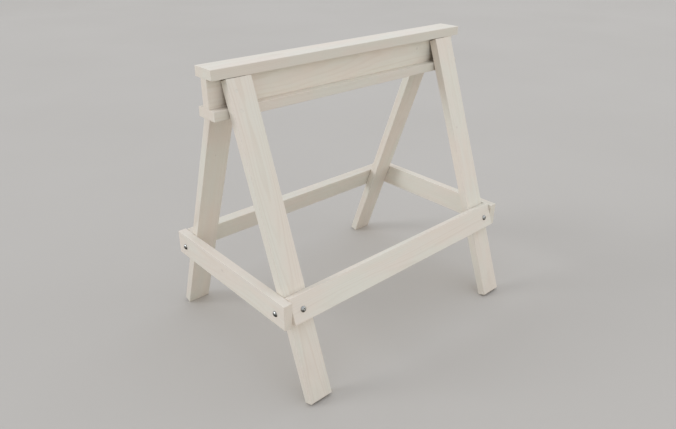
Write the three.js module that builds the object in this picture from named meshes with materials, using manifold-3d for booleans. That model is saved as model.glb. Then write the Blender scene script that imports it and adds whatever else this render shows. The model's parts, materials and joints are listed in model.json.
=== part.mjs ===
// A wooden sawhorse, in millimetres, +Z up.
// Its beam is an I-section of three boards. Four splayed legs stand in the beam's side channels,
// and four stretchers tie the legs together near the floor. Every board is cut from one size of
// planed timber. The origin is on the floor under the middle of the beam, X runs along the beam
// from left to right, and the front of the sawhorse faces -Y.

import * as THREE from 'three';
import { mergeVertices } from 'three/addons/utils/BufferGeometryUtils.js';
import Module from 'manifold-3d';

const manifoldLibrary = await Module();
manifoldLibrary.setup();

// ---------------------------------------------------------------- driving dimensions

const BOARD_WIDTH = 70;
const BOARD_THICKNESS = 25;
const BEAM_LENGTH = 875;
const OVERALL_HEIGHT = 810;
const LEG_SPLAY = THREE.MathUtils.degToRad(20);
const LEG_SETBACK = 36; // from each end of the beam to the outer edge of the leg
const LONG_STRETCHER_START = 222; // up the leg, from its foot to the stretcher's lower edge
const END_STRETCHER_HEIGHT = 216.5; // from the floor to the stretcher's lower edge
const END_STRETCHER_LENGTH = 510;
const JOINT_GAP = 0.3; // glue line between boards, and clearance round each screw

// Domed screws that hold the stretchers to the legs.
const DOME_SCREW = {
  length: 45,
  shankRadius: 3,
  headRadius: 8,
  rimHeight: 0.8,
  headHeight: 5,
  socketRadius: 2.6,
  socketDepth: 2.6,
};
const DOME_STEPS = 5;
const DOME_SCREW_RISE = 32; // above the stretcher's lower edge
const DOME_SCREW_INSET = 32.5; // from the outer edge of the leg, in the long stretchers

// Countersunk screws that hold the beam together and the legs to the beam.
const FLAT_SCREW = { shankRadius: 2.2, headRadius: 4.4, headHeight: 2.6 };
const BEAM_SCREW_LENGTH = 60;
const LEG_SCREW_LENGTH = 50;
const FLAT_SCREW_SINK = 2; // from the board's face down to the top of the head
const CAP_SCREW_PLACES = [-300, -100, 100, 300];
const FLANGE_SCREW_PLACES = [-200, 0, 200];
const LEG_SCREW_DROPS = { upper: 30, lower: 76 }; // down the leg from its top end
const FRONT_LEG_SCREW_INSET = 20; // from the outer edge of the leg
const REAR_LEG_SCREW_INSET = 50; // so that the front and rear screws miss each other in the web

const TIP_LENGTH = 6;
const SCREW_SIDES = 16;
const HOLE_RUN_OUT = 8; // how far a hole's cutter stands out of the board's face

// ---------------------------------------------------------------- derived dimensions

const capUnderside = OVERALL_HEIGHT - BOARD_THICKNESS;
const webTop = capUnderside - JOINT_GAP;
const webBottom = webTop - BOARD_WIDTH;
const flangeTop = webBottom - JOINT_GAP;
const flangeBottom = flangeTop - BOARD_THICKNESS;

// The inner face of a leg passes just clear of the flange's upper corner, and the leg's outer
// top corner comes up to the cap. Both ends of a leg are cut square.
const legContact = BOARD_WIDTH / 2 + JOINT_GAP / Math.cos(LEG_SPLAY);
const footOffset = legContact + flangeTop * Math.tan(LEG_SPLAY);
const legTopInner = capUnderside - JOINT_GAP - BOARD_THICKNESS * Math.sin(LEG_SPLAY);
const legLength = legTopInner / Math.cos(LEG_SPLAY);
const legOuterEdge = BEAM_LENGTH / 2 - LEG_SETBACK;
const legCentre = legOuterEdge - BOARD_WIDTH / 2;
const endStretcherInner = legOuterEdge + JOINT_GAP;
const endStretcherOuter = endStretcherInner + BOARD_THICKNESS;

// ---------------------------------------------------------------- materials

const WOOD_COLOUR = 0xd2ccbc;
const STEEL_COLOUR = 0x8c8d8c;

function woodMaterial() {
  return new THREE.MeshStandardMaterial({ color: WOOD_COLOUR, roughness: 0.72, metalness: 0 });
}

function steelMaterial() {
  return new THREE.MeshStandardMaterial({ color: STEEL_COLOUR, roughness: 0.32, metalness: 1 });
}

// ---------------------------------------------------------------- solids

// Turns a closed three.js geometry into a solid that can be cut.
function solidFrom(geometry) {
  const bare = geometry.clone();
  bare.deleteAttribute('normal');
  bare.deleteAttribute('uv');
  const merged = mergeVertices(bare);
  const corners = merged.index.array;
  const triangles = [];
  for (let first = 0; first < corners.length; first += 3) {
    const [a, b, c] = corners.slice(first, first + 3);
    if (a !== b && b !== c && c !== a) {
      triangles.push(a, b, c);
    }
  }
  const mesh = new manifoldLibrary.Mesh({
    numProp: 3,
    vertProperties: new Float32Array(merged.attributes.position.array),
    triVerts: new Uint32Array(triangles),
  });
  return new manifoldLibrary.Manifold(mesh);
}

function geometryFrom(solid) {
  const mesh = solid.getMesh();
  const geometry = new THREE.BufferGeometry();
  geometry.setAttribute('position', new THREE.BufferAttribute(mesh.vertProperties, 3));
  geometry.setIndex(new THREE.BufferAttribute(mesh.triVerts, 1));
  geometry.computeVertexNormals();
  return geometry;
}

function named(name, mesh, position) {
  mesh.name = name;
  mesh.position.copy(position);
  return mesh;
}

function board(name, size, position) {
  const geometry = new THREE.BoxGeometry(size.x, size.y, size.z);
  return named(name, new THREE.Mesh(geometry, woodMaterial()), position);
}

// ---------------------------------------------------------------- screws

// Every screw is turned round its own Y axis. Its tip points to -Y, and y = 0 is the seat of a
// domed head or the top of a countersunk one.

function lathe(profile) {
  return new THREE.LatheGeometry(profile, SCREW_SIDES);
}

function shankProfile(radius, length) {
  return [new THREE.Vector2(0, -length), new THREE.Vector2(radius, TIP_LENGTH - length)];
}

function domeProfile() {
  const { shankRadius, headRadius, rimHeight, headHeight, length } = DOME_SCREW;
  const rise = headHeight - rimHeight;
  const sphereRadius = (headRadius ** 2 + rise ** 2) / (2 * rise);
  const rimAngle = Math.asin(headRadius / sphereRadius);
  const profile = shankProfile(shankRadius, length);
  profile.push(new THREE.Vector2(shankRadius, 0));
  profile.push(new THREE.Vector2(headRadius, 0));
  for (let step = 0; step < DOME_STEPS; step += 1) {
    const angle = rimAngle * (1 - step / DOME_STEPS);
    const height = headHeight - sphereRadius * (1 - Math.cos(angle));
    profile.push(new THREE.Vector2(sphereRadius * Math.sin(angle), height));
  }
  profile.push(new THREE.Vector2(0, headHeight));
  return profile;
}

// A domed head with a small hexagonal socket.
function domeScrewGeometry() {
  const { socketRadius, socketDepth, headHeight } = DOME_SCREW;
  const socket = new THREE.CylinderGeometry(socketRadius, socketRadius, 2 * socketDepth, 6);
  socket.translate(0, headHeight, 0);
  return geometryFrom(solidFrom(lathe(domeProfile())).subtract(solidFrom(socket)));
}

function flatScrewGeometry(length) {
  const { shankRadius, headRadius, headHeight } = FLAT_SCREW;
  const profile = shankProfile(shankRadius, length);
  profile.push(new THREE.Vector2(shankRadius, -headHeight));
  profile.push(new THREE.Vector2(headRadius, 0));
  profile.push(new THREE.Vector2(0, 0));
  return lathe(profile);
}

// The hole for a screw is wider than the screw by the joint gap all round.
function domeHoleGeometry() {
  const { shankRadius, length } = DOME_SCREW;
  const radius = shankRadius + JOINT_GAP;
  return lathe([
    new THREE.Vector2(0, -length - JOINT_GAP),
    new THREE.Vector2(radius, -length - JOINT_GAP),
    new THREE.Vector2(radius, HOLE_RUN_OUT),
    new THREE.Vector2(0, HOLE_RUN_OUT),
  ]);
}

function flatHoleGeometry(length) {
  const { shankRadius, headRadius, headHeight } = FLAT_SCREW;
  const narrow = shankRadius + JOINT_GAP;
  const wide = headRadius + JOINT_GAP;
  return lathe([
    new THREE.Vector2(0, -length - JOINT_GAP),
    new THREE.Vector2(narrow, -length - JOINT_GAP),
    new THREE.Vector2(narrow, -headHeight - JOINT_GAP),
    new THREE.Vector2(wide, -JOINT_GAP),
    new THREE.Vector2(wide, HOLE_RUN_OUT),
    new THREE.Vector2(0, HOLE_RUN_OUT),
  ]);
}

function screw(name, geometry, hole, position, direction) {
  const mesh = named(name, new THREE.Mesh(geometry, steelMaterial()), position);
  mesh.quaternion.setFromUnitVectors(new THREE.Vector3(0, -1, 0), direction);
  mesh.userData.hole = hole;
  return mesh;
}

// seat is the point on the board's face where the screw goes in.
function domeScrew(name, seat, direction) {
  const position = seat.clone().addScaledVector(direction, -JOINT_GAP);
  return screw(name, domeScrewGeometry(), domeHoleGeometry(), position, direction);
}

function flatScrew(name, length, seat, direction) {
  const position = seat.clone().addScaledVector(direction, FLAT_SCREW_SINK);
  return screw(name, flatScrewGeometry(length), flatHoleGeometry(length), position, direction);
}

// Cuts the screws' holes out of a board, wherever the two stand in the assembly.
function drill(target, screws) {
  const toTarget = target.matrixWorld.clone().invert();
  let solid = solidFrom(target.geometry);
  for (const fastener of screws) {
    const hole = fastener.userData.hole.clone();
    hole.applyMatrix4(toTarget.clone().multiply(fastener.matrixWorld));
    solid = solid.subtract(solidFrom(hole));
  }
  target.geometry = geometryFrom(solid);
}

// ---------------------------------------------------------------- assemblies

// The I-section: the cap lies on the web's upper edge and the flange under its lower edge.
function beam() {
  const flat = new THREE.Vector3(BEAM_LENGTH, BOARD_WIDTH, BOARD_THICKNESS);
  const onEdge = new THREE.Vector3(BEAM_LENGTH, BOARD_THICKNESS, BOARD_WIDTH);
  const group = new THREE.Group();
  group.add(board('cap_board', flat, new THREE.Vector3(0, 0, OVERALL_HEIGHT - BOARD_THICKNESS / 2)));
  group.add(board('web_board', onEdge, new THREE.Vector3(0, 0, (webTop + webBottom) / 2)));
  group.add(board('bottom_flange', flat, new THREE.Vector3(0, 0, (flangeTop + flangeBottom) / 2)));
  const down = new THREE.Vector3(0, 0, -1);
  CAP_SCREW_PLACES.forEach((x, index) => {
    const seat = new THREE.Vector3(x, 0, OVERALL_HEIGHT);
    group.add(flatScrew(`cap_screw_${index + 1}`, BEAM_SCREW_LENGTH, seat, down));
  });
  const up = new THREE.Vector3(0, 0, 1);
  FLANGE_SCREW_PLACES.forEach((x, index) => {
    const seat = new THREE.Vector3(x, 0, flangeBottom);
    group.add(flatScrew(`flange_screw_${index + 1}`, BEAM_SCREW_LENGTH, seat, up));
  });
  return group;
}

// Two legs and the long stretcher on their outer faces, built upright and then leaned inwards.
// In this group Z runs up the leg from its foot, and the legs' inner faces lie at y = 0.
function sideFrame(side, legScrewInset) {
  const group = new THREE.Group();
  const inwards = new THREE.Vector3(0, 1, 0);
  const legSize = new THREE.Vector3(BOARD_WIDTH, BOARD_THICKNESS, legLength);
  const stretcherSize = new THREE.Vector3(2 * legOuterEdge, BOARD_THICKNESS, BOARD_WIDTH);
  const stretcherInner = -BOARD_THICKNESS - JOINT_GAP;
  const stretcherMiddle = new THREE.Vector3(
    0,
    stretcherInner - BOARD_THICKNESS / 2,
    LONG_STRETCHER_START + BOARD_WIDTH / 2,
  );
  group.add(board(`stretcher_${side}`, stretcherSize, stretcherMiddle));
  for (const hand of ['left', 'right']) {
    const towards = (hand === 'left') === (side === 'front') ? -1 : 1;
    const legMiddle = new THREE.Vector3(towards * legCentre, -BOARD_THICKNESS / 2, legLength / 2);
    group.add(board(`leg_${side}_${hand}`, legSize, legMiddle));
    const domeSeat = new THREE.Vector3(
      towards * (legOuterEdge - DOME_SCREW_INSET),
      stretcherInner - BOARD_THICKNESS,
      LONG_STRETCHER_START + DOME_SCREW_RISE,
    );
    group.add(domeScrew(`dome_screw_${side}_${hand}`, domeSeat, inwards));
    for (const [level, drop] of Object.entries(LEG_SCREW_DROPS)) {
      const seat = new THREE.Vector3(
        towards * (legOuterEdge - legScrewInset),
        -BOARD_THICKNESS,
        legLength - drop,
      );
      group.add(flatScrew(`leg_screw_${side}_${hand}_${level}`, LEG_SCREW_LENGTH, seat, inwards));
    }
  }
  group.position.y = -footOffset;
  group.rotation.x = -LEG_SPLAY;
  const turned = new THREE.Group();
  turned.rotation.z = side === 'front' ? 0 : Math.PI;
  turned.add(group);
  return turned;
}

// Half-way through a leg's thickness at a height above the floor, as a distance from the middle.
function legMiddleAt(height) {
  const innerFace = footOffset - height * Math.tan(LEG_SPLAY);
  return innerFace + BOARD_THICKNESS / (2 * Math.cos(LEG_SPLAY));
}

// The end stretchers stand upright on the outer edges of the legs.
function endStretcher(hand) {
  const towards = hand === 'left' ? -1 : 1;
  const group = new THREE.Group();
  const size = new THREE.Vector3(BOARD_THICKNESS, END_STRETCHER_LENGTH, BOARD_WIDTH);
  const middle = new THREE.Vector3(
    (towards * (endStretcherInner + endStretcherOuter)) / 2,
    0,
    END_STRETCHER_HEIGHT + BOARD_WIDTH / 2,
  );
  group.add(board(`stretcher_${hand}`, size, middle));
  const screwHeight = END_STRETCHER_HEIGHT + DOME_SCREW_RISE;
  const inwards = new THREE.Vector3(-towards, 0, 0);
  for (const [side, facing] of [['front', -1], ['rear', 1]]) {
    const seat = new THREE.Vector3(
      towards * endStretcherOuter,
      facing * legMiddleAt(screwHeight),
      screwHeight,
    );
    group.add(domeScrew(`dome_screw_${hand}_${side}`, seat, inwards));
  }
  return group;
}

// ---------------------------------------------------------------- the whole sawhorse

const sawhorse = new THREE.Group();
sawhorse.add(beam());
sawhorse.add(sideFrame('front', FRONT_LEG_SCREW_INSET));
sawhorse.add(sideFrame('rear', REAR_LEG_SCREW_INSET));
sawhorse.add(endStretcher('left'));
sawhorse.add(endStretcher('right'));
sawhorse.updateMatrixWorld(true);

const boards = [];
const fasteners = [];
sawhorse.traverse((item) => {
  if (item.isMesh) {
    (item.userData.hole ? fasteners : boards).push(item);
  }
});
for (const timber of boards) {
  drill(timber, fasteners);
}

export default sawhorse;
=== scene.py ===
"""A sawhorse of limewashed pine boards and zinc-plated screws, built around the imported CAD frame.

Every board and screw is remade in the place of its CAD node. Boards get sanded edges, dents and real screw
holes, screws get threads and drive recesses, and sunk screws get a plug of wood filler over them.
Lengths are in metres, and the frame's axes are +X along the beam, +Y from front to rear and +Z up.
"""

import json
import math
import random
from types import SimpleNamespace

import bmesh
import bpy
from mathutils import Matrix, Vector, noise


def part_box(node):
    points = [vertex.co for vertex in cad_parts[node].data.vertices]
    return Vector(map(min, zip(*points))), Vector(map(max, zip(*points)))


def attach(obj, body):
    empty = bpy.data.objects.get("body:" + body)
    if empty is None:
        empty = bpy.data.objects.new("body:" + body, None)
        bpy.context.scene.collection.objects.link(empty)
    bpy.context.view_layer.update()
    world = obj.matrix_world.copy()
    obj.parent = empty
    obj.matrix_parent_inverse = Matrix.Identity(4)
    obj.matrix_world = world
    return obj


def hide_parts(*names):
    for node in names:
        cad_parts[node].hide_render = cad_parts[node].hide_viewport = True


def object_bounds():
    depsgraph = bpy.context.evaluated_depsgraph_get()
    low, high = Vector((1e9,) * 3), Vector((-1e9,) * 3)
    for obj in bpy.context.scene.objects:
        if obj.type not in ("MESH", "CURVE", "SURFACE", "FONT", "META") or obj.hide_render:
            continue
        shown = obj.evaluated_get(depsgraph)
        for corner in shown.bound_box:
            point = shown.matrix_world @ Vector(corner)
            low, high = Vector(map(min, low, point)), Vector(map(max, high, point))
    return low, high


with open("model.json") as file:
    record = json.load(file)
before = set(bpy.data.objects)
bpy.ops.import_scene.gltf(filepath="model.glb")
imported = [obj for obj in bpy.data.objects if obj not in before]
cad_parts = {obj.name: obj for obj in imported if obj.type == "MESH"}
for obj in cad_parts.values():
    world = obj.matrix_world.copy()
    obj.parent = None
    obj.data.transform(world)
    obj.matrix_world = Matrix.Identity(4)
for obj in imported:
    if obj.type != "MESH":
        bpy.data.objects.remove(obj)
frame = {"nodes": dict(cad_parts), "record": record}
cad_low, cad_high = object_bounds()

MM = 0.001
SEED = 560
TOLERANCE = 0.01                # by which CAD measures that agree may still differ, as a share or in mm
WOOD_SLOT = "limewashed_pine"
STEEL_SLOT = "zinc_plated_steel"

# Boards
EDGE_EASE = 1.2 * MM            # radius that the long edges are sanded to
WEB_EDGE_EASE = 0.4 * MM        # the web's are only broken, as they butt against the cap and the flange
CAP_UNDER_EASE = 0.35 * MM      # and so are the cap's lower ones
END_EASE = 0.7 * MM             # how far the rounding runs in from a sawn end
EASE_CHANGE = 0.44              # how much the sanding varies along an edge, as a share
WEB_TIGHTENING = 0.3 * MM       # how far each of the web's edges is let out into the CAD's glue line
LONG_PITCH = 4.5 * MM           # spacing of the mesh along a board
CROSS_PITCH = 6 * MM            # and across it
WAVE_DEPTH = 0.12 * MM          # how uneven a planed face is
DENTS_PER_BOARD = 6
DENT_RADIUS = (2.5 * MM, 6 * MM)
DENT_DEPTH = (0.25 * MM, 0.7 * MM)

# Holes
HOLE_CLEARANCE = 0.3 * MM       # between a screw and its hole
HOLE_RUN_OUT = 8 * MM           # how far a hole's cutter runs on outwards, clear of the wood
HOLE_CONE = 1 * MM              # depth of the coned bottom of a hole
HOLE_SIDES = 40
SLIVER_SIZE = 0.006 * MM        # points left closer than this by the cutting are merged

# Edges that bend by more than this, in degrees, are shaded as sharp
BOARD_SHARP_FROM = 35
SCREW_SHARP_FROM = 38
PLUG_SHARP_FROM = 60

# Screws
SCREW_SIDES = 48
HEAD_SEATING = 0.25 * MM        # how far a domed head's rim reaches under its CAD seat, almost to the wood
RIM_HEIGHT = 0.8 * MM           # upright rim under the dome
CROWN_LOST = 0.25 * MM          # how much higher the dome would be if its socket didn't cut off its crown
SOCKET_SHARE = 0.325            # hexagonal socket's corner radius over the domed head's radius
SOCKET_MOUTH_SHARE = 1.18       # the radius of its chamfered mouth over that
SOCKET_DEPTH = 2.3 * MM
CORNER_BREAK = 0.15 * MM        # how far the corners of a domed head are rounded
FLAT_RIM_HEIGHT = 0.3 * MM      # upright rim of a countersunk head
CROSS_REACH_SHARE = 0.55        # cross recess's arm length over a flat head's radius
CROSS_WIDTH_SHARE = 0.13        # and half an arm's width
CROSS_DEPTH = 1.9 * MM
NECK_SHARE = 0.9                # plain shank's radius over the CAD shank's
DOME_SCREW_PLAIN = 4 * MM       # plain length of shank under a domed head
FLAT_SCREW_PLAIN_SHARE = 0.3    # and under a flat one, over the screw's length
THREAD_PITCH = 2.4 * MM
THREAD_DEPTH_SHARE = 0.27       # thread's height over the shank's radius
RINGS_PER_TURN = 8
THREAD_RUN_IN = 1.5             # turns over which the thread rises to its full height
TIP_LENGTH = 0.4 * MM           # unthreaded end of the point

# Filler plugs
PLUG_GAP = 0.03 * MM            # between a plug and its hole
PLUG_LIFT = 0.05 * MM           # and between it and the screw's head
PLUG_DISHING = 0.12 * MM        # how far drying filler sinks in its middle, and rounds at its rim

# Camera, in degrees, millimetres of lens, and shares of the beam's length and the whole height
CAMERA_AZIMUTH = -41.947
CAMERA_ELEVATION = 26.911
CAMERA_ROLL = 0.19
CAMERA_SENSOR = 36
CAMERA_LENS = 31.72
CAMERA_DISTANCE_SHARE = 2.0686  # of the beam's length
TARGET_LEFT_SHARE = 0.030       # of the beam's length
TARGET_HEIGHT_SHARE = 0.3735    # of the whole height

# Colours, linear
PINE_EARLY = (0.76, 0.60, 0.41)
PINE_LATE = (0.50, 0.31, 0.16)
KNOT_BROWN = (0.24, 0.12, 0.055)
WASH_WARM = (0.785, 0.715, 0.635)
WASH_COOL = (0.760, 0.735, 0.655)
# Grime, which also serves as the colour of the painted shade in crevices
GRIME_AND_SHADE = (0.20, 0.16, 0.11)
FILLER_LIGHT = (0.775, 0.725, 0.645)
FILLER_DARK = (0.750, 0.690, 0.605)
ZINC_LIGHT = (0.52, 0.52, 0.50)
ZINC_DULL = (0.30, 0.30, 0.29)
ZINC_YELLOWED = (0.46, 0.42, 0.34)
FLOOR_LIGHT = (0.535, 0.502, 0.462)
FLOOR_DARK = (0.520, 0.487, 0.447)

# Gloss: roughness from and to, and the shader's specular level
WOOD_ROUGHNESS = (0.60, 0.76)
WOOD_SPECULAR = 0.32
FILLER_ROUGHNESS = (0.72, 0.86)
FILLER_SPECULAR = 0.3
ZINC_ROUGHNESS = (0.26, 0.44)
SCRATCH_ROUGHNESS = 0.12        # what a scratch adds to that
FLOOR_ROUGHNESS = 0.85
FLOOR_SPECULAR = 0.2

# Relief: how deep the finest marks are
WOOD_RELIEF = 0.12 * MM
FILLER_RELIEF = 0.05 * MM
ZINC_RELIEF = 0.03 * MM

# Growth rings
HEART_UNDER_FACE = 0.65         # chance that the log's heart lies under a wide face, not beside the board
RING_WIDTH = (2.6 * MM, 4.0 * MM)
LOG_TAPER = 0.012               # most that a log's radius changes along it, as a share of the length
SLOW_BEND = 30 * MM             # how far the trunk wandered over half a metre or so
QUICK_BEND = 2.8 * MM           # and over a hand's width
FLANGE_KNOT = (-0.67, -0.57, 4.5 * MM)  # its place in shares of the board's half sizes, and its radius
KNOT_RADIUS = (2.2 * MM, 4.8 * MM)

# Wash: the share of the bare wood that it hides, and how much less that is in some places
WASH_COVER = (0.89, 0.97)
COVER_LOST_ON_LATE_WOOD = 0.06
COVER_LOST_ON_FIBRES = 0.03
COVER_LOST_ON_RUBBED_EDGES = 0.10
COVER_LOST_ON_KNOTS = 0.08
COVER_LOST_ON_SAWN_ENDS = 0.04
# Painted shade: the wash thinned to bare pine where other boards crowd the surface
COVER_LOST_TO_PAINTED_SHADE = 0.5

# Dirt, and painted shade in crevices, as their share of the colour
SPECK_DIRT = 0.08
# Painted shade: grime colour mixed in where other boards crowd the surface
CREVICE_PAINTED_SHADE = 0.8
PAINTED_SHADE_REACH = 38 * MM         # how near other boards have to be for shade to be painted in a crevice
HANDLING_DIRT = 0.11
HANDLED_BOARDS = ("cap_board", "bottom_flange")  # whose narrow faces have greyed under many hands
FOOT_DIRT = 0.09
FOOT_DIRT_HEIGHT = 260 * MM     # how far up the legs it reaches

# Studio, in metres and degrees
FLOOR_RADIUS = 7.0
SWEEP_RADIUS = 3.0              # of the backdrop's curve up from the floor
SWEEP_STEPS = 12
WALL_HEIGHT = 9.0
STUDIO_SIDES = 96
DAYLIGHT_ABOVE = (0.83, 0.885, 0.975)
DAYLIGHT_LEVEL = (0.905, 0.888, 0.845)
DARK_ROOM = (0.03, 0.028, 0.025)
DARK_UP_TO = 0.40               # where the light starts, from 0 straight down to 1 straight up
LEVEL_LIGHT_FROM = 0.48         # and where it has become DAYLIGHT_LEVEL
DAYLIGHT_TILT = (0.26, -0.16, 0.0)  # which way the level light is stronger, and by what share
WINDOW_COLOUR = (0.93, 0.98, 1.05)
WINDOW_DIRECTION = (-4.6, 3.0, 2.15)
WINDOW_SPREAD = 24
WINDOW_STRENGTH = 0.97


# ---------------------------------------------------------------- places and sizes from the frame


def leg_lean():
    """The angle that the legs lean at, in radians, read from the square foot of a front leg."""
    corners = [v.co for v in frame["nodes"]["leg_front_left"].data.vertices]
    lowest = min(corners, key=lambda c: c.z)
    foremost = min(corners, key=lambda c: c.y)
    return math.atan2(foremost.z - lowest.z, lowest.y - foremost.y)


UPRIGHT = Matrix.Identity(3)
FRONT_LEANING = Matrix.Rotation(-leg_lean(), 3, "X")
REAR_LEANING = Matrix.Rotation(leg_lean(), 3, "X")

# The axes that each screw is square to, which of them it runs along, and which way its head faces.
SCREW_ROWS = {
    "cap_screw": (UPRIGHT, 2, 1),
    "flange_screw": (UPRIGHT, 2, -1),
    "leg_screw_front": (FRONT_LEANING, 1, -1),
    "leg_screw_rear": (REAR_LEANING, 1, 1),
    "dome_screw_front": (FRONT_LEANING, 1, -1),
    "dome_screw_rear": (REAR_LEANING, 1, 1),
    "dome_screw_left": (UPRIGHT, 0, -1),
    "dome_screw_right": (UPRIGHT, 0, 1),
}
BOARD_AXES = {
    "leg_front": FRONT_LEANING,
    "leg_rear": REAR_LEANING,
    "stretcher_front": FRONT_LEANING,
    "stretcher_rear": REAR_LEANING,
}


def by_prefix(rows, name, otherwise=None):
    """The entry of rows whose key the name starts with."""
    for prefix, row in rows.items():
        if name.startswith(prefix):
            return row
    return otherwise


def nodes_in_slot(slot):
    """The CAD nodes that the record gives this material slot."""
    return [part["node"] for part in frame["record"]["subparts"] if part["material_slot"] == slot]


def turned_box(node, axes):
    """The lowest and highest corners of a CAD node, measured along those axes."""
    points = [axes.transposed() @ v.co for v in frame["nodes"][node].data.vertices]
    low = Vector([min(p[i] for p in points) for i in range(3)])
    high = Vector([max(p[i] for p in points) for i in range(3)])
    return low, high


def measure_board(node):
    """A board's half sizes and its place: x along the grain, y across its width, z through its thickness."""
    axes = by_prefix(BOARD_AXES, node, UPRIGHT)
    low, high = turned_box(node, axes)
    size = high - low
    along, across, through = sorted(range(3), key=lambda i: size[i], reverse=True)
    length_axis = axes.col[along]
    width_axis = axes.col[across]
    turn = Matrix((length_axis, width_axis, length_axis.cross(width_axis))).transposed()
    place = Matrix.Translation(axes @ ((low + high) / 2)) @ turn.to_4x4()
    half = Vector((size[along], size[across], size[through])) / 2
    upper_ease = lower_ease = EDGE_EASE
    if node == "cap_board":
        lower_ease = CAP_UNDER_EASE
    if node == "web_board":
        upper_ease = lower_ease = WEB_EDGE_EASE
        half.y += WEB_TIGHTENING
    return SimpleNamespace(
        node=node,
        place=place,
        inverse=place.inverted(),
        half=half,
        upper_ease=upper_ease,
        lower_ease=lower_ease,
    )


def measure_screw(node):
    """A screw's sizes and its place: z runs inwards from the middle of its head's top."""
    axes, axis, side = by_prefix(SCREW_ROWS, node)
    low, high = turned_box(node, axes)
    top = (low + high) / 2
    top[axis] = high[axis] if side > 0 else low[axis]
    inwards = axes.col[axis] * -side
    sideways = axes.col[(axis + 1) % 3]
    turn = Matrix((sideways, inwards.cross(sideways), inwards)).transposed()
    place = Matrix.Translation(axes @ top) @ turn.to_4x4()
    inverse = place.inverted()
    rounds = []
    for vertex in frame["nodes"][node].data.vertices:
        local = inverse @ vertex.co
        rounds.append((local.z, math.hypot(local.x, local.y)))
    length = max(depth for depth, _ in rounds)
    head_radius = max(radius for _, radius in rounds)
    # The last ring before the tip is where the point starts.
    point_start, shank_radius = max(pair for pair in rounds if pair[0] < length - 1 * MM)
    rim_end = max(depth for depth, radius in rounds if radius > (1 - TOLERANCE) * head_radius)
    shank_start = min(
        depth
        for depth, radius in rounds
        if depth > rim_end - TOLERANCE * MM and abs(radius / shank_radius - 1) < TOLERANCE
    )
    return SimpleNamespace(
        node=node,
        place=place,
        length=length,
        head_radius=head_radius,
        shank_radius=shank_radius,
        rim_end=rim_end,
        shank_start=shank_start,
        point_start=point_start,
        domed=node.startswith("dome_screw"),
    )


def inside(board, point):
    """True if a point of the frame lies in the board."""
    local = board.inverse @ point
    return all(abs(local[i]) <= board.half[i] for i in range(3))


def runs_through(screw, board):
    """True if the screw's centre line meets the board."""
    samples = 24
    return any(
        inside(board, screw.place @ Vector((0, 0, screw.length * i / samples))) for i in range(samples + 1)
    )


def sunk_depth(screw, boards):
    """How far a countersunk head's top lies under the face of the board it is in."""
    top = screw.place.translation
    board = next(b for b in boards if inside(b, top))
    local = board.inverse @ top
    outwards = board.inverse.to_3x3() @ (screw.place.to_3x3() @ Vector((0, 0, -1)))
    axis = max(range(3), key=lambda i: abs(outwards[i]))
    return board.half[axis] - abs(local[axis])


# ---------------------------------------------------------------- mesh helpers


def new_object(name, points, faces):
    """A mesh object of those points and faces, with its faces turned outwards."""
    mesh = bpy.data.meshes.new(name)
    mesh.from_pydata(points, [], faces)
    shape = bmesh.new()
    shape.from_mesh(mesh)
    bmesh.ops.recalc_face_normals(shape, faces=shape.faces)
    shape.to_mesh(mesh)
    shape.free()
    obj = bpy.data.objects.new(name, mesh)
    bpy.context.scene.collection.objects.link(obj)
    return obj


def smooth_with_sharp_edges(obj, angle):
    """Shades obj smooth, but for the edges that bend by more than the angle, in degrees."""
    shape = bmesh.new()
    shape.from_mesh(obj.data)
    for face in shape.faces:
        face.smooth = True
    for edge in shape.edges:
        edge.smooth = len(edge.link_faces) == 2 and edge.calc_face_angle(0) < math.radians(angle)
    shape.to_mesh(obj.data)
    shape.free()


def keep_flat_faces_flat(obj):
    """Lets the large faces set the normals that they share with the narrow rounded ones."""
    weighting = obj.modifiers.new("flat_faces", "WEIGHTED_NORMAL")
    weighting.weight = 100
    weighting.keep_sharp = True


def apply_modifiers(obj):
    """Makes obj's mesh what its modifiers show."""
    shown = obj.evaluated_get(bpy.context.evaluated_depsgraph_get())
    mesh = bpy.data.meshes.new_from_object(shown)
    obj.modifiers.clear()
    obj.data = mesh


def merge_slivers(obj):
    """Merges the points of obj that a cut has left almost on top of each other."""
    shape = bmesh.new()
    shape.from_mesh(obj.data)
    bmesh.ops.remove_doubles(shape, verts=shape.verts, dist=SLIVER_SIZE)
    shape.to_mesh(obj.data)
    shape.free()


def ring(depth, radius, outline=None, sides=SCREW_SIDES):
    """Points round the z axis at a depth. An outline gives the share of the radius at each angle."""
    points = []
    for i in range(sides):
        angle = 2 * math.pi * i / sides
        reach = radius * (outline(angle) if outline else 1)
        points.append(Vector((reach * math.cos(angle), reach * math.sin(angle), depth)))
    return points


def skin(rings, first_depth, last_depth):
    """A closed surface over the rings, from one point of the z axis to another."""
    sides = len(rings[0])
    points = [Vector((0, 0, first_depth))]
    for points_round in rings:
        points += points_round
    points.append(Vector((0, 0, last_depth)))
    faces = []
    for i in range(sides):
        after = (i + 1) % sides
        faces.append((0, 1 + i, 1 + after))
        for level in range(len(rings) - 1):
            near, far = 1 + level * sides, 1 + (level + 1) * sides
            faces.append((near + i, far + i, far + after, near + after))
        far = 1 + (len(rings) - 1) * sides
        faces.append((far + i, len(points) - 1, far + after))
    return points, faces


# ---------------------------------------------------------------- boards


def stations(half, ease, pitch):
    """Where the mesh has points along one axis: even over the flat, and closer over both eased edges."""
    flat_half = half - ease
    count = max(1, round(2 * flat_half / pitch))
    flat = [flat_half * (2 * i / count - 1) for i in range(count + 1)]
    # On a rounded edge, the one in between lands half way from the flat to the corner.
    eased = [flat_half + ease * math.tan(math.radians(22.5)), half]
    return [-eased[1], -eased[0]] + flat + eased


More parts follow.
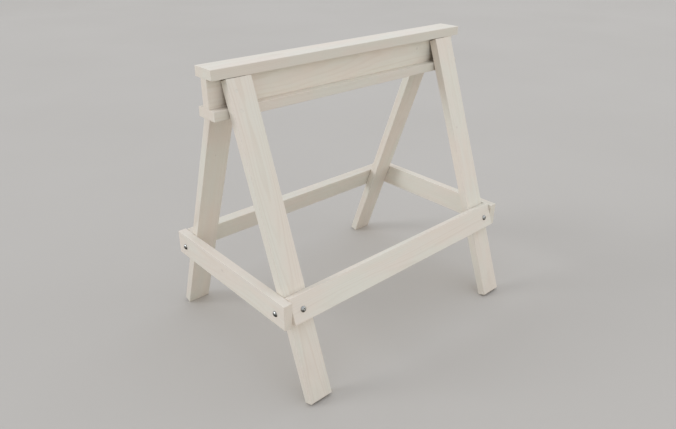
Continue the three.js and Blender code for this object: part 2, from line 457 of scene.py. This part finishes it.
def box_shell(axis_stations):
    """The points and faces of a box's surface, with those stations along its three axes."""
    last = [len(row) - 1 for row in axis_stations]
    numbers, points, faces = {}, [], []

    def number(key):
        """The number of the point at those three stations, which is made when it is first met."""
        if key not in numbers:
            numbers[key] = len(points)
            points.append(Vector([axis_stations[axis][key[axis]] for axis in range(3)]))
        return numbers[key]

    for axis in range(3):
        second, third = (axis + 1) % 3, (axis + 2) % 3
        for level in (0, last[axis]):
            for i in range(last[second]):
                for j in range(last[third]):
                    corners = []
                    for di, dj in ((0, 0), (1, 0), (1, 1), (0, 1)):
                        key = [level] * 3
                        key[second], key[third] = i + di, j + dj
                        corners.append(number(tuple(key)))
                    faces.append(corners)
    return points, faces


def edge_dent(half, draws):
    """A small knock on one of a board's long edges: its place, radius and depth."""
    place = Vector((
        draws.uniform(-0.95, 0.95) * half.x,
        draws.choice((-1, 1)) * half.y,
        draws.choice((-1, 1)) * half.z,
    ))
    return place, draws.uniform(*DENT_RADIUS), draws.uniform(*DENT_DEPTH)


def worn(point, board, dents, shift):
    """Where a point of a sharp-edged board lies once the board is sanded, a little uneven and knocked."""
    half = board.half
    edge_ease = board.lower_ease if point.z < 0 else board.upper_ease
    ease = Vector((END_EASE, edge_ease, edge_ease))
    side = Vector([math.copysign(1, value) for value in point])
    # Each of the four long edges reads a line of the noise of its own.
    along_edge = Vector((point.x * 14, side.y * 3, side.z * 5)) + shift
    change = 1 + EASE_CHANGE * noise.noise(along_edge)
    rounding = Vector([
        max(0, abs(point[i]) - (half[i] - ease[i])) / ease[i] for i in range(3)
    ])
    outwards = rounding.normalized()
    moved = Vector(point)
    for i in range(3):
        if rounding[i] > 0:
            moved[i] = side[i] * (half[i] - ease[i] * change * (1 - outwards[i]))
    inwards = Vector([-side[i] * outwards[i] for i in range(3)])
    wave = noise.noise(Vector((point.x * 5, point.y * 30, point.z * 30)) + shift)
    moved += inwards * WAVE_DEPTH * (0.5 + 0.5 * wave)
    for place, radius, depth in dents:
        nearness = 1 - ((moved - place).length / radius) ** 2
        if nearness > 0:
            moved += inwards * depth * nearness**2
    return moved


def hole_tool(screw):
    """A solid of the room that one screw needs: its hole, and the way in for its head."""
    clear = HOLE_CLEARANCE
    shank = screw.shank_radius + clear
    if screw.domed:
        steps = [(screw.shank_start - HOLE_RUN_OUT, shank)]
    else:
        steps = [
            (-HOLE_RUN_OUT, screw.head_radius + clear),
            (FLAT_RIM_HEIGHT, screw.head_radius + clear),
            (screw.shank_start + clear, shank),
        ]
    steps.append((screw.length + clear, shank))
    rings = [ring(depth, radius, sides=HOLE_SIDES) for depth, radius in steps]
    points, faces = skin(rings, steps[0][0], steps[-1][0] + HOLE_CONE)
    return [screw.place @ p for p in points], faces


def cut_holes(obj, screws):
    """Cuts the hole of each screw out of obj."""
    points, faces = [], []
    for screw in screws:
        more_points, more_faces = hole_tool(screw)
        faces += [[len(points) + i for i in face] for face in more_faces]
        points += more_points
    tool = new_object("hole_tool", points, faces)
    cut = obj.modifiers.new("holes", "BOOLEAN")
    cut.object = tool
    cut.operation = "DIFFERENCE"
    cut.solver = "EXACT"
    apply_modifiers(obj)
    merge_slivers(obj)
    bpy.data.objects.remove(tool)


def store_board_places(obj, board):
    """Gives each vertex its place in the board's own axes, which the wood's grain follows."""
    places = obj.data.attributes.new("board_place", "FLOAT_VECTOR", "POINT")
    for vertex in obj.data.vertices:
        places.data[vertex.index].vector = board.inverse @ vertex.co


def make_board(board, screws):
    """One pine board, sanded, holed and washed."""
    draws = random.Random(f"{SEED} {board.node}")
    half = board.half
    points, faces = box_shell([
        stations(half.x, END_EASE, LONG_PITCH),
        stations(half.y, board.upper_ease, CROSS_PITCH),
        stations(half.z, board.upper_ease, CROSS_PITCH),
    ])
    dents = [edge_dent(half, draws) for _ in range(DENTS_PER_BOARD)]
    shift = Vector([draws.uniform(0, 100) for _ in range(3)])
    points = [board.place @ worn(p, board, dents, shift) for p in points]
    obj = new_object(f"{board.node}_pine", points, faces)
    cut_holes(obj, [screw for screw in screws if runs_through(screw, board)])
    store_board_places(obj, board)
    smooth_with_sharp_edges(obj, BOARD_SHARP_FROM)
    keep_flat_faces_flat(obj)
    obj.data.materials.append(limewashed_pine(board, draws))
    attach(obj, "root")
    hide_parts(board.node)


# ---------------------------------------------------------------- screws and filler


def hexagon(angle):
    """The outline of a hexagon with a corner radius of 1."""
    return math.cos(math.pi / 6) / math.cos(angle % (math.pi / 3) - math.pi / 6)


def cross(angle):
    """The outline of a cross with arms 1 long."""
    off_arm = abs((angle + math.pi / 4) % (math.pi / 2) - math.pi / 4)
    half_width = CROSS_WIDTH_SHARE / CROSS_REACH_SHARE
    return min(1 / math.cos(off_arm), half_width / max(math.sin(off_arm), 1e-6))


def domed_head(screw):
    """The rings of a domed head with a hexagonal socket, and the depth of the socket's middle."""
    rim = screw.head_radius
    rise = screw.rim_end - RIM_HEIGHT
    whole_rise = rise + CROWN_LOST
    curve = (rim**2 + whole_rise**2) / (2 * whole_rise)

    def depth_at(radius):
        """The depth of the dome's surface that far from its middle."""
        return curve - math.sqrt(curve**2 - radius**2) - CROWN_LOST

    corner = SOCKET_SHARE * rim
    mouth = corner * SOCKET_MOUTH_SHARE
    # The socket's slightly coned floor, its wall, and its chamfered mouth.
    rings = [
        ring(SOCKET_DEPTH + CORNER_BREAK, corner * 0.55, hexagon),
        ring(SOCKET_DEPTH, corner * 0.97, hexagon),
        ring(SOCKET_DEPTH - CORNER_BREAK, corner, hexagon),
        ring(depth_at(mouth) + 0.35 * MM, corner, hexagon),
        ring(depth_at(mouth) + 0.06 * MM, mouth * 0.98),
        ring(depth_at(mouth * 1.04) + 0.01 * MM, mouth * 1.04),
    ]
    for share in (0.48, 0.58, 0.68, 0.78, 0.87, 0.94):
        rings.append(ring(depth_at(share * rim), share * rim))
    # The rounded rim, and the flat underside in as far as the shank's fillet.
    seat = screw.rim_end + HEAD_SEATING
    rings += [
        ring(rise + 0.02 * MM, rim * 0.992),
        ring(rise + 0.18 * MM, rim),
        ring(seat - CORNER_BREAK, rim),
        ring(seat, rim * 0.985),
        ring(seat, screw.shank_radius + 0.35 * MM),
    ]
    return rings, SOCKET_DEPTH + 0.5 * MM


def flat_head(screw):
    """The rings of a countersunk head with a cross recess, and the depth of the recess's middle."""
    rim = screw.head_radius
    reach = CROSS_REACH_SHARE * rim
    rings = [
        ring(CROSS_DEPTH, reach * 0.30, cross),
        ring(CROSS_DEPTH * 0.6, reach * 0.72, cross),
        ring(0.12 * MM, reach * 0.97, cross),
        ring(0, reach * 1.02, cross),
        ring(0, rim * 0.80),
        ring(0, rim * 0.97),
        ring(0.08 * MM, rim),
        ring(FLAT_RIM_HEIGHT, rim * 0.99),
    ]
    return rings, CROSS_DEPTH + 0.25 * MM


def threaded_shank(screw, plain_length):
    """The rings of a shank: plain under the head, then a thread that runs out at the sharpened tip."""
    start = screw.shank_start + HEAD_SEATING
    thread_start = screw.shank_start + plain_length
    core = screw.shank_radius * (1 - THREAD_DEPTH_SHARE)
    neck = screw.shank_radius * NECK_SHARE
    rings = [ring(start + 0.2 * MM, neck + 0.1 * MM), ring(start + 0.5 * MM, neck)]
    rings.append(ring(thread_start, neck))
    step = THREAD_PITCH / RINGS_PER_TURN
    count = int((screw.length - TIP_LENGTH - thread_start) / step)
    for level in range(1, count + 1):
        depth = thread_start + level * step
        to_tip = min(1, (screw.length - depth) / (screw.length - screw.point_start))
        run_in = min(1, level / (THREAD_RUN_IN * RINGS_PER_TURN))
        # The thread keeps its height for longer than the core does, but both end at the tip.
        height = screw.shank_radius * THREAD_DEPTH_SHARE * run_in * min(1, to_tip * 1.6)

        def outline(angle, depth=depth, body=core * to_tip, height=height):
            """The core, with one ridge a turn that is two thirds of the pitch wide."""
            turns = (depth / THREAD_PITCH - angle / (2 * math.pi)) % 1
            return body + height * max(0, 1 - 3 * abs(turns - 0.5)) ** 0.8

        rings.append(ring(depth, 1, outline))
    return rings


def make_screw(screw, steel):
    """One zinc-plated wood screw."""
    if screw.domed:
        rings, recess_depth = domed_head(screw)
        plain_length = DOME_SCREW_PLAIN
    else:
        rings, recess_depth = flat_head(screw)
        plain_length = FLAT_SCREW_PLAIN_SHARE * screw.length
    rings += threaded_shank(screw, plain_length)
    points, faces = skin(rings, recess_depth, screw.length)
    obj = new_object(f"{screw.node}_steel", [screw.place @ p for p in points], faces)
    smooth_with_sharp_edges(obj, SCREW_SHARP_FROM)
    obj.data.materials.append(steel)
    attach(obj, "root")
    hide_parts(screw.node)


def make_filler_plug(screw, boards, filler):
    """The disc of filler that hides a sunk screw, flush with the wood round it."""
    surface = -sunk_depth(screw, boards) + WAVE_DEPTH / 2
    radius = screw.head_radius + HOLE_CLEARANCE - PLUG_GAP
    under = -PLUG_LIFT
    rings = [ring(under, radius * share, sides=HOLE_SIDES) for share in (0.5, 1)]
    rings.append(ring(surface + PLUG_DISHING, radius, sides=HOLE_SIDES))
    for share in (0.985, 0.94, 0.8, 0.6, 0.35):
        dish = PLUG_DISHING * (1 - share**2)
        rings.append(ring(surface + dish, radius * share, sides=HOLE_SIDES))
    points, faces = skin(rings, under, surface + PLUG_DISHING)
    obj = new_object(f"{screw.node}_filler", [screw.place @ p for p in points], faces)
    smooth_with_sharp_edges(obj, PLUG_SHARP_FROM)
    obj.data.materials.append(filler)
    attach(obj, "root")


# ---------------------------------------------------------------- materials


class Tree:
    """The node tree of a new material, with short calls for the nodes used here."""

    def __init__(self, name):
        self.material = bpy.data.materials.new(name)
        self.material.use_nodes = True
        self.nodes = self.material.node_tree.nodes
        self.links = self.material.node_tree.links
        self.shader = self.nodes["Principled BSDF"]

    def feed(self, socket, value):
        """Links a socket to an input, or sets a plain value there."""
        if isinstance(value, bpy.types.NodeSocket):
            self.links.new(value, socket)
        else:
            socket.default_value = value

    def add(self, kind, inputs, output=0, **settings):
        """A node with those settings and inputs. Returns one of its outputs."""
        node = self.nodes.new(kind)
        for name, value in settings.items():
            setattr(node, name, value)
        for key, value in inputs.items():
            self.feed(node.inputs[key], value)
        return node.outputs[output]

    def math(self, operation, *values):
        """A sum, product or the like of plain numbers."""
        return self.add("ShaderNodeMath", dict(enumerate(values)), operation=operation)

    def vector(self, operation, *values, output=0):
        """The same for vectors. Output 1 is for operations that give a number."""
        return self.add("ShaderNodeVectorMath", dict(enumerate(values)), output, operation=operation)

    def noise(self, place, scale, detail=3.0, roughness=0.55):
        """Noise from 0 to 1. The scale is how many blobs there are to a metre along each axis."""
        stretched = self.vector("MULTIPLY", place, scale)
        return self.add(
            "ShaderNodeTexNoise",
            {"Vector": stretched, "Scale": 1.0, "Detail": detail, "Roughness": roughness},
        )

    def blend(self, value, low, high, start=0.0, end=1.0):
        """Goes smoothly from start to end as the value goes from low to high."""
        inputs = {"Value": value, "From Min": low, "From Max": high, "To Min": start, "To Max": end}
        return self.add("ShaderNodeMapRange", inputs, interpolation_type="SMOOTHSTEP")

    def mix(self, share, first, second):
        """A colour between two."""
        inputs = {0: share}
        for index, colour in ((6, first), (7, second)):
            plain = isinstance(colour, tuple)
            inputs[index] = (*colour, 1.0) if plain else colour
        return self.add("ShaderNodeMix", inputs, 2, data_type="RGBA")

    def bump(self, height, distance, strength):
        """The normal of a surface that rises by up to the distance as the height goes from 0 to 1."""
        inputs = {"Height": height, "Distance": distance, "Strength": strength}
        return self.add("ShaderNodeBump", inputs)


def heart_of_log(draws):
    """Where the log's heart lies from the middle of the board: across it, and through its thickness."""
    if draws.random() < HEART_UNDER_FACE:
        return draws.uniform(-25, 25) * MM, draws.choice((-1, 1)) * draws.uniform(50, 100) * MM
    return draws.choice((-1, 1)) * draws.uniform(60, 110) * MM, draws.uniform(-30, 30) * MM


def board_knots(board, draws):
    """Places and radii of a board's few small knots, along and across its wide face."""
    knots = []
    if board.node == "bottom_flange":
        along_share, across_share, radius = FLANGE_KNOT
        knots.append((along_share * board.half.x, across_share * board.half.y, radius))
    for _ in range(draws.choice((0, 0, 1, 1))):
        along = draws.uniform(-0.9, 0.9) * board.half.x
        across = draws.uniform(-0.75, 0.75) * board.half.y
        knots.append((along, across, draws.uniform(*KNOT_RADIUS)))
    return knots


def log_radius(tree, place, wood_place, along, draws):
    """How far a point is from the heart of a log that tapered and wandered a little as it grew."""
    heart_y, heart_z = heart_of_log(draws)
    from_heart = tree.vector("SUBTRACT", place, (0, heart_y, heart_z))
    radial = tree.vector("MULTIPLY", from_heart, (0, 1, 1))
    radius = tree.vector("LENGTH", radial, output=1)
    taper = tree.math("MULTIPLY", along, draws.uniform(-LOG_TAPER, LOG_TAPER))
    slow = tree.math("MULTIPLY", tree.noise(wood_place, (1.6, 7, 7), 1.0), SLOW_BEND)
    quick = tree.math("MULTIPLY", tree.noise(wood_place, (9, 45, 45), 2.0), QUICK_BEND)
    return tree.math("ADD", tree.math("ADD", radius, taper), tree.math("ADD", slow, quick))


def add_knots(tree, place, radius, knots):
    """The log's radius with its rings bent round the knots, and where the knots are, from 0 to 1."""
    knot = 0.0
    for knot_along, knot_across, knot_radius in knots:
        offset = tree.vector("SUBTRACT", place, (knot_along, knot_across, 0))
        flattened = tree.vector("MULTIPLY", offset, (0.72, 1, 0))
        distance = tree.vector("LENGTH", flattened, output=1)
        near = tree.blend(distance, 0.4 * knot_radius, 4.5 * knot_radius, 1.0, 0.0)
        radius = tree.math("ADD", radius, tree.math("MULTIPLY", near, 1.9 * knot_radius))
        spot = tree.blend(distance, 0.6 * knot_radius, 1.15 * knot_radius, 1.0, 0.0)
        knot = tree.math("MAXIMUM", knot, spot)
    return radius, knot


def shape_ring(node):
    """Shapes one growth ring: pale early wood, darker late wood, then a sudden end."""
    curve = node.mapping.curves[0]
    curve.points[0].location = (0.0, 0.10)
    curve.points[1].location = (1.0, 0.0)
    for x, y in ((0.45, 0.08), (0.86, 1.0), (0.93, 0.9)):
        curve.points.new(x, y)
    node.mapping.update()


def late_wood(tree, radius, ring_width):
    """How far a point is late wood, from 0 to 1. Some rings have more of it than others."""
    ring_count = tree.math("DIVIDE", radius, ring_width)
    within = tree.math("FRACT", ring_count)
    late = tree.add("ShaderNodeFloatCurve", {0: 1.0, 1: within})
    shape_ring(late.node)
    ring_age = tree.math("FLOOR", ring_count)
    strength = tree.add("ShaderNodeTexWhiteNoise", {"W": ring_age}, noise_dimensions="1D")
    return tree.math("MULTIPLY", late, tree.blend(strength, 0, 1, 0.45, 1.0))


def edge_distance(tree, place, half):
    """How far a point of a board's surface is from its nearest edge."""
    depths = tree.vector("SUBTRACT", tuple(half), tree.vector("ABSOLUTE", place))
    parts = tree.add("ShaderNodeSeparateXYZ", {0: depths}).node.outputs
    total = tree.math("ADD", tree.math("ADD", parts[0], parts[1]), parts[2])
    least = tree.math("MINIMUM", tree.math("MINIMUM", parts[0], parts[1]), parts[2])
    most = tree.math("MAXIMUM", tree.math("MAXIMUM", parts[0], parts[1]), parts[2])
    return tree.math("SUBTRACT", tree.math("SUBTRACT", total, least), most)


def face_distance(tree, place_on_axis, half):
    """How far a point is from the nearer of two opposite faces."""
    return tree.math("SUBTRACT", half, tree.math("ABSOLUTE", place_on_axis))


def painted_crevice_shade(tree, wood_place, edge):
    """Where shade is painted, from 0 to 1: in tight corners crowded by other boards, but only here and there
    on a board's edges.
    """
    openness = tree.add("ShaderNodeAmbientOcclusion", {"Distance": PAINTED_SHADE_REACH}, "AO", samples=8)
    kept = tree.blend(tree.noise(wood_place, (18, 18, 18), 2.0), 0.52, 0.62, 0.0, 0.7)
    kept = tree.math("MAXIMUM", kept, tree.blend(edge, 1 * MM, 5 * MM))
    return tree.math("MULTIPLY", tree.blend(openness, 0.04, 0.42, 1.0, 0.0), kept)


def foot_dirt(tree, wood_place, along, half_length):
    """The share of soil on a leg, which fades upwards and is scuffed. The foot is at the low end of x."""
    from_foot = tree.math("ADD", along, half_length)
    scuffs = tree.blend(tree.noise(wood_place, (9, 30, 30), 4.0, 0.65), 0.3, 0.7, 0.5, 1.3)
    return tree.math("MULTIPLY", tree.blend(from_foot, 0.0, FOOT_DIRT_HEIGHT, FOOT_DIRT, 0.0), scuffs)


def limewashed_pine(board, draws):
    """Planed pine under a thin off-white wash, its growth rings cut as the board lies in its log."""
    tree = Tree(f"limewashed_{board.node}")
    place = tree.add("ShaderNodeAttribute", {}, 1, attribute_name="board_place")
    shift = tuple(draws.uniform(0, 40) for _ in range(3))
    wood_place = tree.vector("ADD", place, shift)
    along, across, _ = tree.add("ShaderNodeSeparateXYZ", {0: place}).node.outputs
    radius = log_radius(tree, place, wood_place, along, draws)
    radius, knot = add_knots(tree, place, radius, board_knots(board, draws))
    late = late_wood(tree, radius, draws.uniform(*RING_WIDTH))

    fibre = tree.noise(wood_place, (14, 520, 520), 3.0, 0.6)
    strokes = tree.noise(wood_place, (3.5, 110, 110), 2.0)
    patches = tree.noise(wood_place, (5, 12, 12), 2.0)
    edge = edge_distance(tree, place, board.half)
    from_edge = tree.blend(edge, 0.2 * MM, 2.2 * MM, 1.0, 0.0)
    rubbed = tree.math("MULTIPLY", from_edge, tree.blend(patches, 0.5, 0.62))
    end = tree.blend(face_distance(tree, along, board.half.x), 0.6 * MM, 1.4 * MM, 1.0, 0.0)
    # Painted shade, found by ambient occlusion where other boards crowd the surface
    crevice_shade = painted_crevice_shade(tree, wood_place, edge)

    bare = tree.mix(tree.math("MULTIPLY", late, 0.9), PINE_EARLY, PINE_LATE)
    bare = tree.mix(knot, bare, KNOT_BROWN)
    wash = tree.mix(tree.blend(patches, 0.35, 0.65), WASH_WARM, WASH_COOL)
    cover = tree.blend(strokes, 0.25, 0.75, *WASH_COVER)
    for where, lost in (
        (late, COVER_LOST_ON_LATE_WOOD),
        (tree.blend(fibre, 0.5, 0.75), COVER_LOST_ON_FIBRES),
        (rubbed, COVER_LOST_ON_RUBBED_EDGES),
        (knot, COVER_LOST_ON_KNOTS),
        (end, COVER_LOST_ON_SAWN_ENDS),
        # Painted shade: bare pine shows where other boards crowd the surface
        (crevice_shade, COVER_LOST_TO_PAINTED_SHADE),
    ):
        cover = tree.math("SUBTRACT", cover, tree.math("MULTIPLY", where, lost))
    colour = tree.mix(cover, bare, wash)

    specks = tree.blend(tree.noise(wood_place, (26, 60, 60), 5.0, 0.7), 0.60, 0.80, 0.0, SPECK_DIRT)
    # Real specks of dirt, together with the painted shade of the crevices in the grime colour
    dirt_and_shade = tree.math("MAXIMUM", specks, tree.math("MULTIPLY", crevice_shade, CREVICE_PAINTED_SHADE))
    colour = tree.mix(dirt_and_shade, colour, GRIME_AND_SHADE)
    if board.node in HANDLED_BOARDS:
        from_side = face_distance(tree, across, board.half.y)
        colour = tree.mix(tree.blend(from_side, 0.3 * MM, 1.5 * MM, HANDLING_DIRT, 0.0), colour, GRIME_AND_SHADE)
    if board.node.startswith("leg_"):
        colour = tree.mix(foot_dirt(tree, wood_place, along, board.half.x), colour, GRIME_AND_SHADE)
    tree.feed(tree.shader.inputs["Base Color"], colour)

    roughness = tree.blend(fibre, 0.3, 0.7, *WOOD_ROUGHNESS)
    roughness = tree.math("SUBTRACT", roughness, tree.math("MULTIPLY", late, 0.06))
    tree.feed(tree.shader.inputs["Roughness"], roughness)
    tree.shader.inputs["Specular IOR Level"].default_value = WOOD_SPECULAR

    saw_marks = tree.math("MULTIPLY", tree.noise(wood_place, (900, 900, 130), 2.0), end)
    height = tree.math("MULTIPLY", late, 0.5)
    for marks, share in ((fibre, 0.9), (saw_marks, 2.0), (strokes, 0.7)):
        height = tree.math("ADD", height, tree.math("MULTIPLY", marks, share))
    tree.feed(tree.shader.inputs["Normal"], tree.bump(height, WOOD_RELIEF, 0.55))
    return tree.material


def wood_filler():
    """Off-white filler: fine, even and a little chalky."""
    tree = Tree("wood_filler")
    place = tree.add("ShaderNodeTexCoord", {}, "Object")
    cloudy = tree.noise(place, (160, 160, 160), 4.0, 0.6)
    speckle = tree.noise(place, (1500, 1500, 1500), 2.0)
    colour = tree.mix(tree.blend(cloudy, 0.35, 0.65), FILLER_LIGHT, FILLER_DARK)
    tree.feed(tree.shader.inputs["Base Color"], colour)
    tree.feed(tree.shader.inputs["Roughness"], tree.blend(speckle, 0.3, 0.7, *FILLER_ROUGHNESS))
    tree.shader.inputs["Specular IOR Level"].default_value = FILLER_SPECULAR
    tree.feed(tree.shader.inputs["Normal"], tree.bump(speckle, FILLER_RELIEF, 0.4))
    return tree.material


def zinc_plated_steel():
    """Bright zinc plate, dulled in patches and finely scratched."""
    tree = Tree(STEEL_SLOT)
    place = tree.add("ShaderNodeTexCoord", {}, "Object")
    clouds = tree.noise(place, (220, 220, 220), 4.0, 0.6)
    spangle = tree.noise(place, (900, 900, 900), 3.0, 0.5)
    scratches = tree.noise(place, (300, 4200, 300), 2.0)
    colour = tree.mix(tree.blend(clouds, 0.35, 0.70), ZINC_LIGHT, ZINC_DULL)
    colour = tree.mix(tree.blend(spangle, 0.55, 0.75, 0.0, 0.35), colour, ZINC_YELLOWED)
    tree.feed(tree.shader.inputs["Base Color"], colour)
    tree.shader.inputs["Metallic"].default_value = 1.0
    dullness = tree.blend(clouds, 0.3, 0.7, *ZINC_ROUGHNESS)
    roughness = tree.math("ADD", dullness, tree.blend(scratches, 0.6, 0.75, 0.0, SCRATCH_ROUGHNESS))
    tree.feed(tree.shader.inputs["Roughness"], roughness)
    height = tree.math("ADD", spangle, tree.math("MULTIPLY", scratches, 0.5))
    tree.feed(tree.shader.inputs["Normal"], tree.bump(height, ZINC_RELIEF, 0.35))
    return tree.material


def floor_paint():
    """A pale, matt studio floor."""
    tree = Tree("floor_paint")
    place = tree.add("ShaderNodeTexCoord", {}, "Object")
    clouds = tree.noise(place, (0.7, 0.7, 0.7), 3.0)
    colour = tree.mix(tree.blend(clouds, 0.3, 0.7), FLOOR_LIGHT, FLOOR_DARK)
    tree.feed(tree.shader.inputs["Base Color"], colour)
    tree.shader.inputs["Roughness"].default_value = FLOOR_ROUGHNESS
    tree.shader.inputs["Specular IOR Level"].default_value = FLOOR_SPECULAR
    return tree.material


# ---------------------------------------------------------------- studio


def add_camera():
    """The camera, at the angle and distance from which the sawhorse is seen."""
    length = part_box("cap_board")[1].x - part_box("cap_board")[0].x
    azimuth, elevation = math.radians(CAMERA_AZIMUTH), math.radians(CAMERA_ELEVATION)
    back = Vector((
        math.sin(azimuth) * math.cos(elevation),
        -math.cos(azimuth) * math.cos(elevation),
        math.sin(elevation),
    ))
    target = Vector((-TARGET_LEFT_SHARE * length, 0, TARGET_HEIGHT_SHARE * cad_high.z))
    camera = bpy.data.objects.new("camera", bpy.data.cameras.new("camera"))
    camera.data.sensor_width = CAMERA_SENSOR
    camera.data.lens = CAMERA_LENS
    facing = (-back).to_track_quat("-Z", "Y").to_matrix().to_4x4()
    roll = Matrix.Rotation(math.radians(CAMERA_ROLL), 4, "Z")
    camera.matrix_world = Matrix.Translation(target + back * CAMERA_DISTANCE_SHARE * length) @ facing @ roll
    bpy.context.scene.collection.objects.link(camera)
    bpy.context.scene.camera = camera


def add_floor_and_backdrop():
    """A round floor at the feet, and a backdrop that sweeps up from its rim and lets all light through.

    Reflections miss both, so the steel mirrors the dark room below.
    """
    paint = floor_paint()
    rim = ring(0, FLOOR_RADIUS, sides=STUDIO_SIDES)
    floor = new_object("floor", rim, [list(range(STUDIO_SIDES))])
    levels = [rim]
    for step in range(1, SWEEP_STEPS + 1):
        angle = math.pi / 2 * step / SWEEP_STEPS
        out, up = SWEEP_RADIUS * math.sin(angle), SWEEP_RADIUS * (1 - math.cos(angle))
        levels.append(ring(up, FLOOR_RADIUS + out, sides=STUDIO_SIDES))
    levels.append(ring(WALL_HEIGHT, FLOOR_RADIUS + SWEEP_RADIUS, sides=STUDIO_SIDES))
    points, faces = [], []
    for level, level_points in enumerate(levels):
        points += level_points
        for i in range(STUDIO_SIDES if level else 0):
            after = (i + 1) % STUDIO_SIDES
            low, high = (level - 1) * STUDIO_SIDES, level * STUDIO_SIDES
            faces.append((low + i, low + after, high + after, high + i))
    backdrop = new_object("backdrop", points, faces)
    smooth_with_sharp_edges(backdrop, 180)
    backdrop.visible_diffuse = False
    backdrop.visible_shadow = False
    for obj in (floor, backdrop):
        obj.data.materials.append(paint)
        obj.visible_glossy = False


def add_window_light():
    """Soft light from one side, as from a broad window at the left behind the sawhorse."""
    light = bpy.data.objects.new("window", bpy.data.lights.new("window", "SUN"))
    light.data.energy = WINDOW_STRENGTH
    light.data.color = WINDOW_COLOUR
    light.data.angle = math.radians(WINDOW_SPREAD)
    light.matrix_world = Vector(WINDOW_DIRECTION).to_track_quat("Z", "Y").to_matrix().to_4x4()
    bpy.context.scene.collection.objects.link(light)


def add_daylight():
    """Soft light from all round, bluer from above and stronger from one side, over a dark room below."""
    world = bpy.data.worlds.new("studio")
    world.use_nodes = True
    nodes, links = world.node_tree.nodes, world.node_tree.links
    direction = nodes.new("ShaderNodeTexCoord")
    parts = nodes.new("ShaderNodeSeparateXYZ")
    height = nodes.new("ShaderNodeMapRange")
    height.inputs["From Min"].default_value = -1.0
    ramp = nodes.new("ShaderNodeValToRGB")
    below, above = ramp.color_ramp.elements
    below.position, below.color = DARK_UP_TO, (*DARK_ROOM, 1.0)
    above.position, above.color = 1.0, (*DAYLIGHT_ABOVE, 1.0)
    level = ramp.color_ramp.elements.new(LEVEL_LIGHT_FROM)
    level.color = (*DAYLIGHT_LEVEL, 1.0)
    links.new(direction.outputs["Generated"], parts.inputs[0])
    links.new(parts.outputs["Z"], height.inputs["Value"])
    links.new(height.outputs["Result"], ramp.inputs["Fac"])
    links.new(ramp.outputs["Color"], nodes["Background"].inputs["Color"])
    tilt = nodes.new("ShaderNodeVectorMath")
    tilt.operation = "DOT_PRODUCT"
    tilt.inputs[1].default_value = DAYLIGHT_TILT
    share = nodes.new("ShaderNodeMath")
    share.inputs[1].default_value = 1.0
    links.new(direction.outputs["Generated"], tilt.inputs[0])
    links.new(tilt.outputs["Value"], share.inputs[0])
    links.new(share.outputs["Value"], nodes["Background"].inputs["Strength"])
    bpy.context.scene.world = world


add_camera()
add_floor_and_backdrop()
add_daylight()
add_window_light()
bpy.context.scene.view_settings.view_transform = "Standard"

all_boards = [measure_board(node) for node in nodes_in_slot(WOOD_SLOT)]
all_screws = [measure_screw(node) for node in nodes_in_slot(STEEL_SLOT)]
for each_board in all_boards:
    make_board(each_board, all_screws)
zinc = zinc_plated_steel()
filler_paste = wood_filler()
for each_screw in all_screws:
    make_screw(each_screw, zinc)
    if not each_screw.domed:
        make_filler_plug(each_screw, all_boards, filler_paste)
